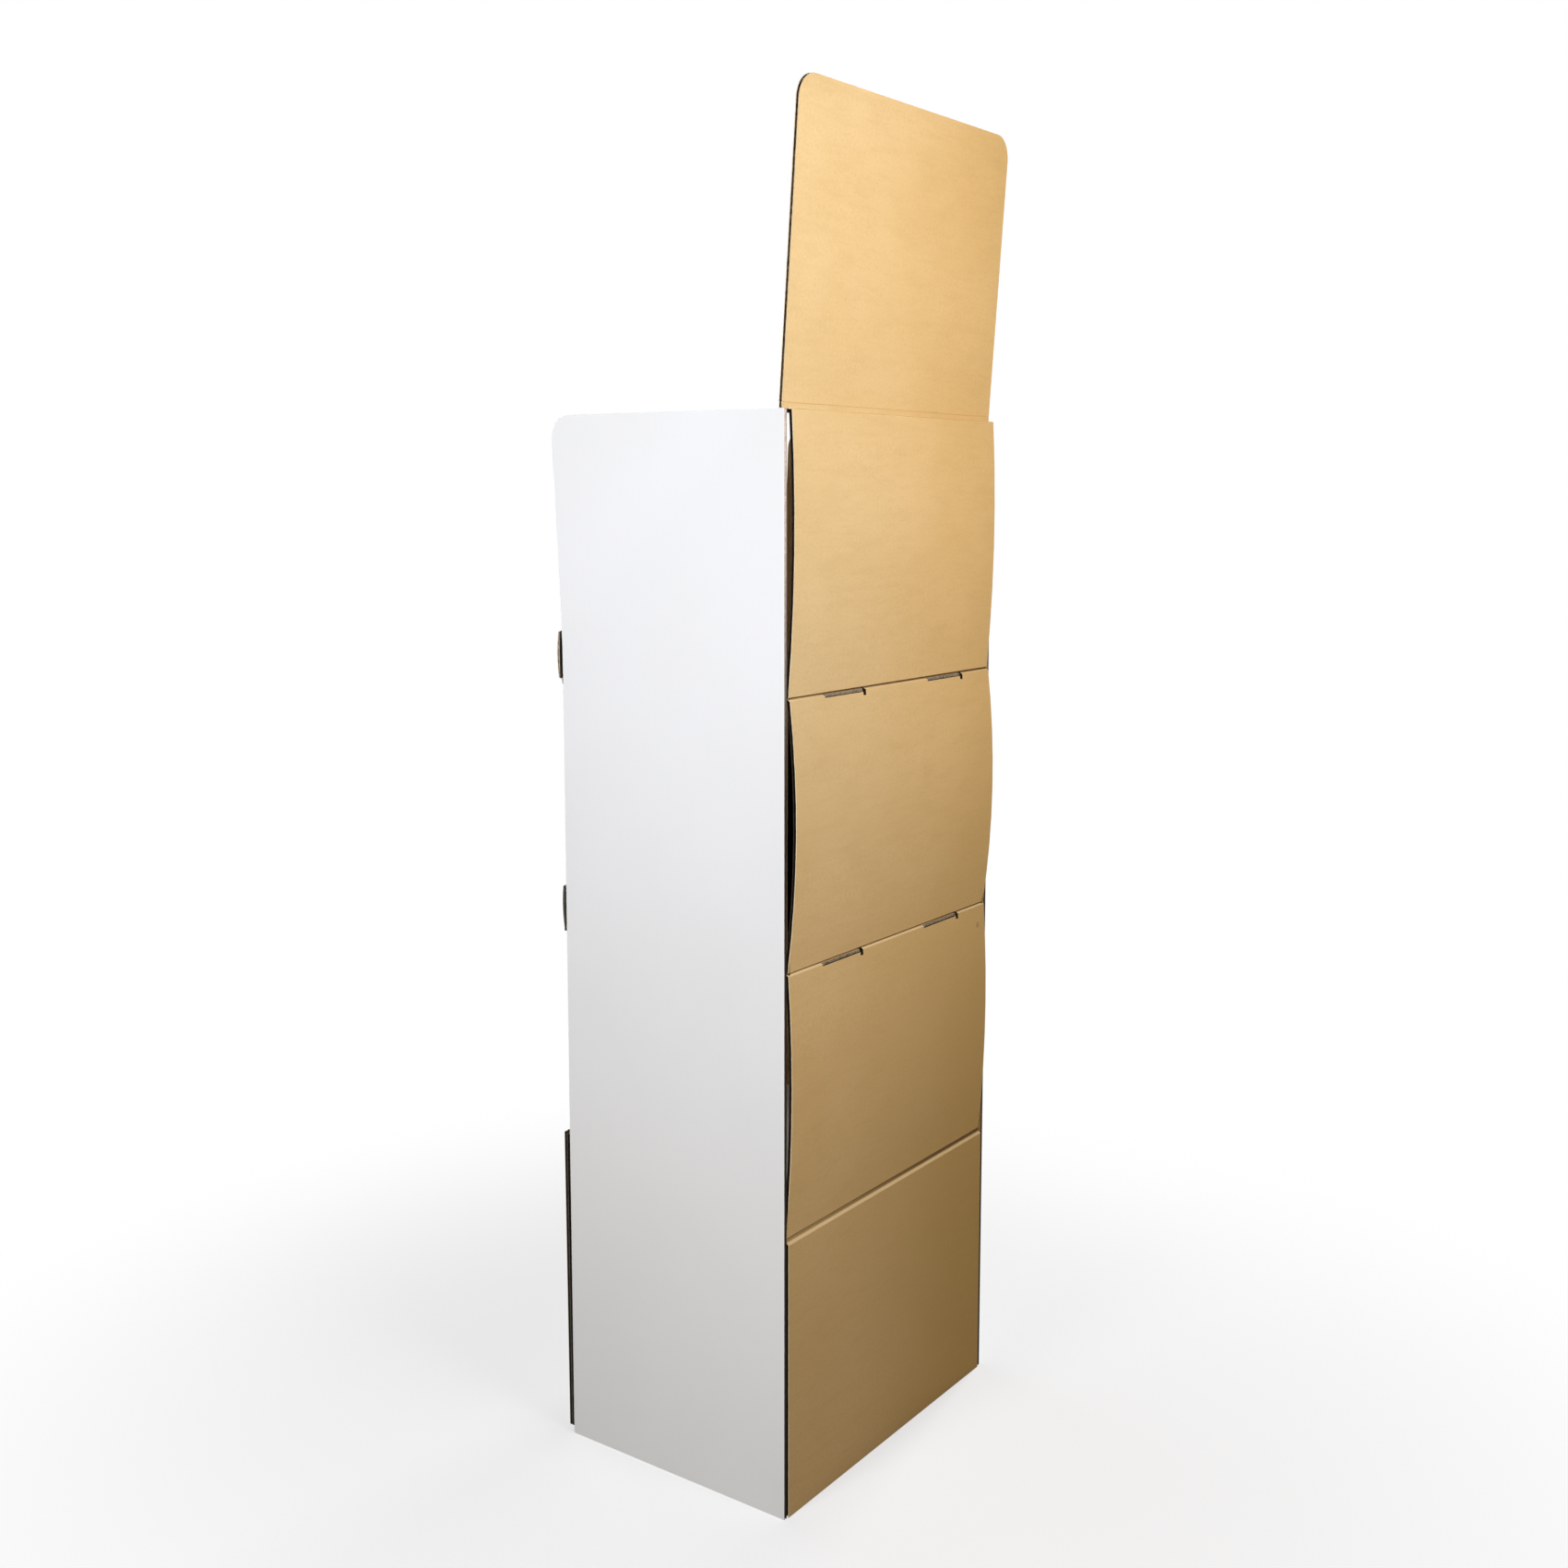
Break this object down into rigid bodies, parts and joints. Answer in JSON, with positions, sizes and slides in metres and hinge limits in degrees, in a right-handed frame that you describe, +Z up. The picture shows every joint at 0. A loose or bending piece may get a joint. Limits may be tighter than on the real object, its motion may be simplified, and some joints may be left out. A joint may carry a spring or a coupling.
{
  "type": "floor standee",
  "caption": "Tall corrugated-card floor display with flat sides, tray shelves with rolled lips, a plinth and a creased, bowed back sheet that rises into a header.",
  "frame": {"origin": "on the floor, under the middle of the whole part's box", "axes": "+Z up, -Y to the front where the shelves open, +X to the shopper's right"},
  "size_m": [0.4244, 0.3146, 1.4293],
  "materials": {
    "white_lined_card": "smooth white liner outside, kraft liner inside, raw flutes at the edges",
    "kraft_card": "matt kraft liner to the rear, white liner to the front, raw flutes at the edges",
    "shelf_card": "smooth white liner on the lips, raw flutes at the edges"
  },
  "bodies": {
    "root": {"side_panel_right": "white_lined_card", "side_panel_left": "white_lined_card", "back_sheet": "kraft_card", "upper_shelf": "shelf_card", "middle_shelf": "shelf_card", "base_shelf": "shelf_card"}
  },
  "joints": []
}
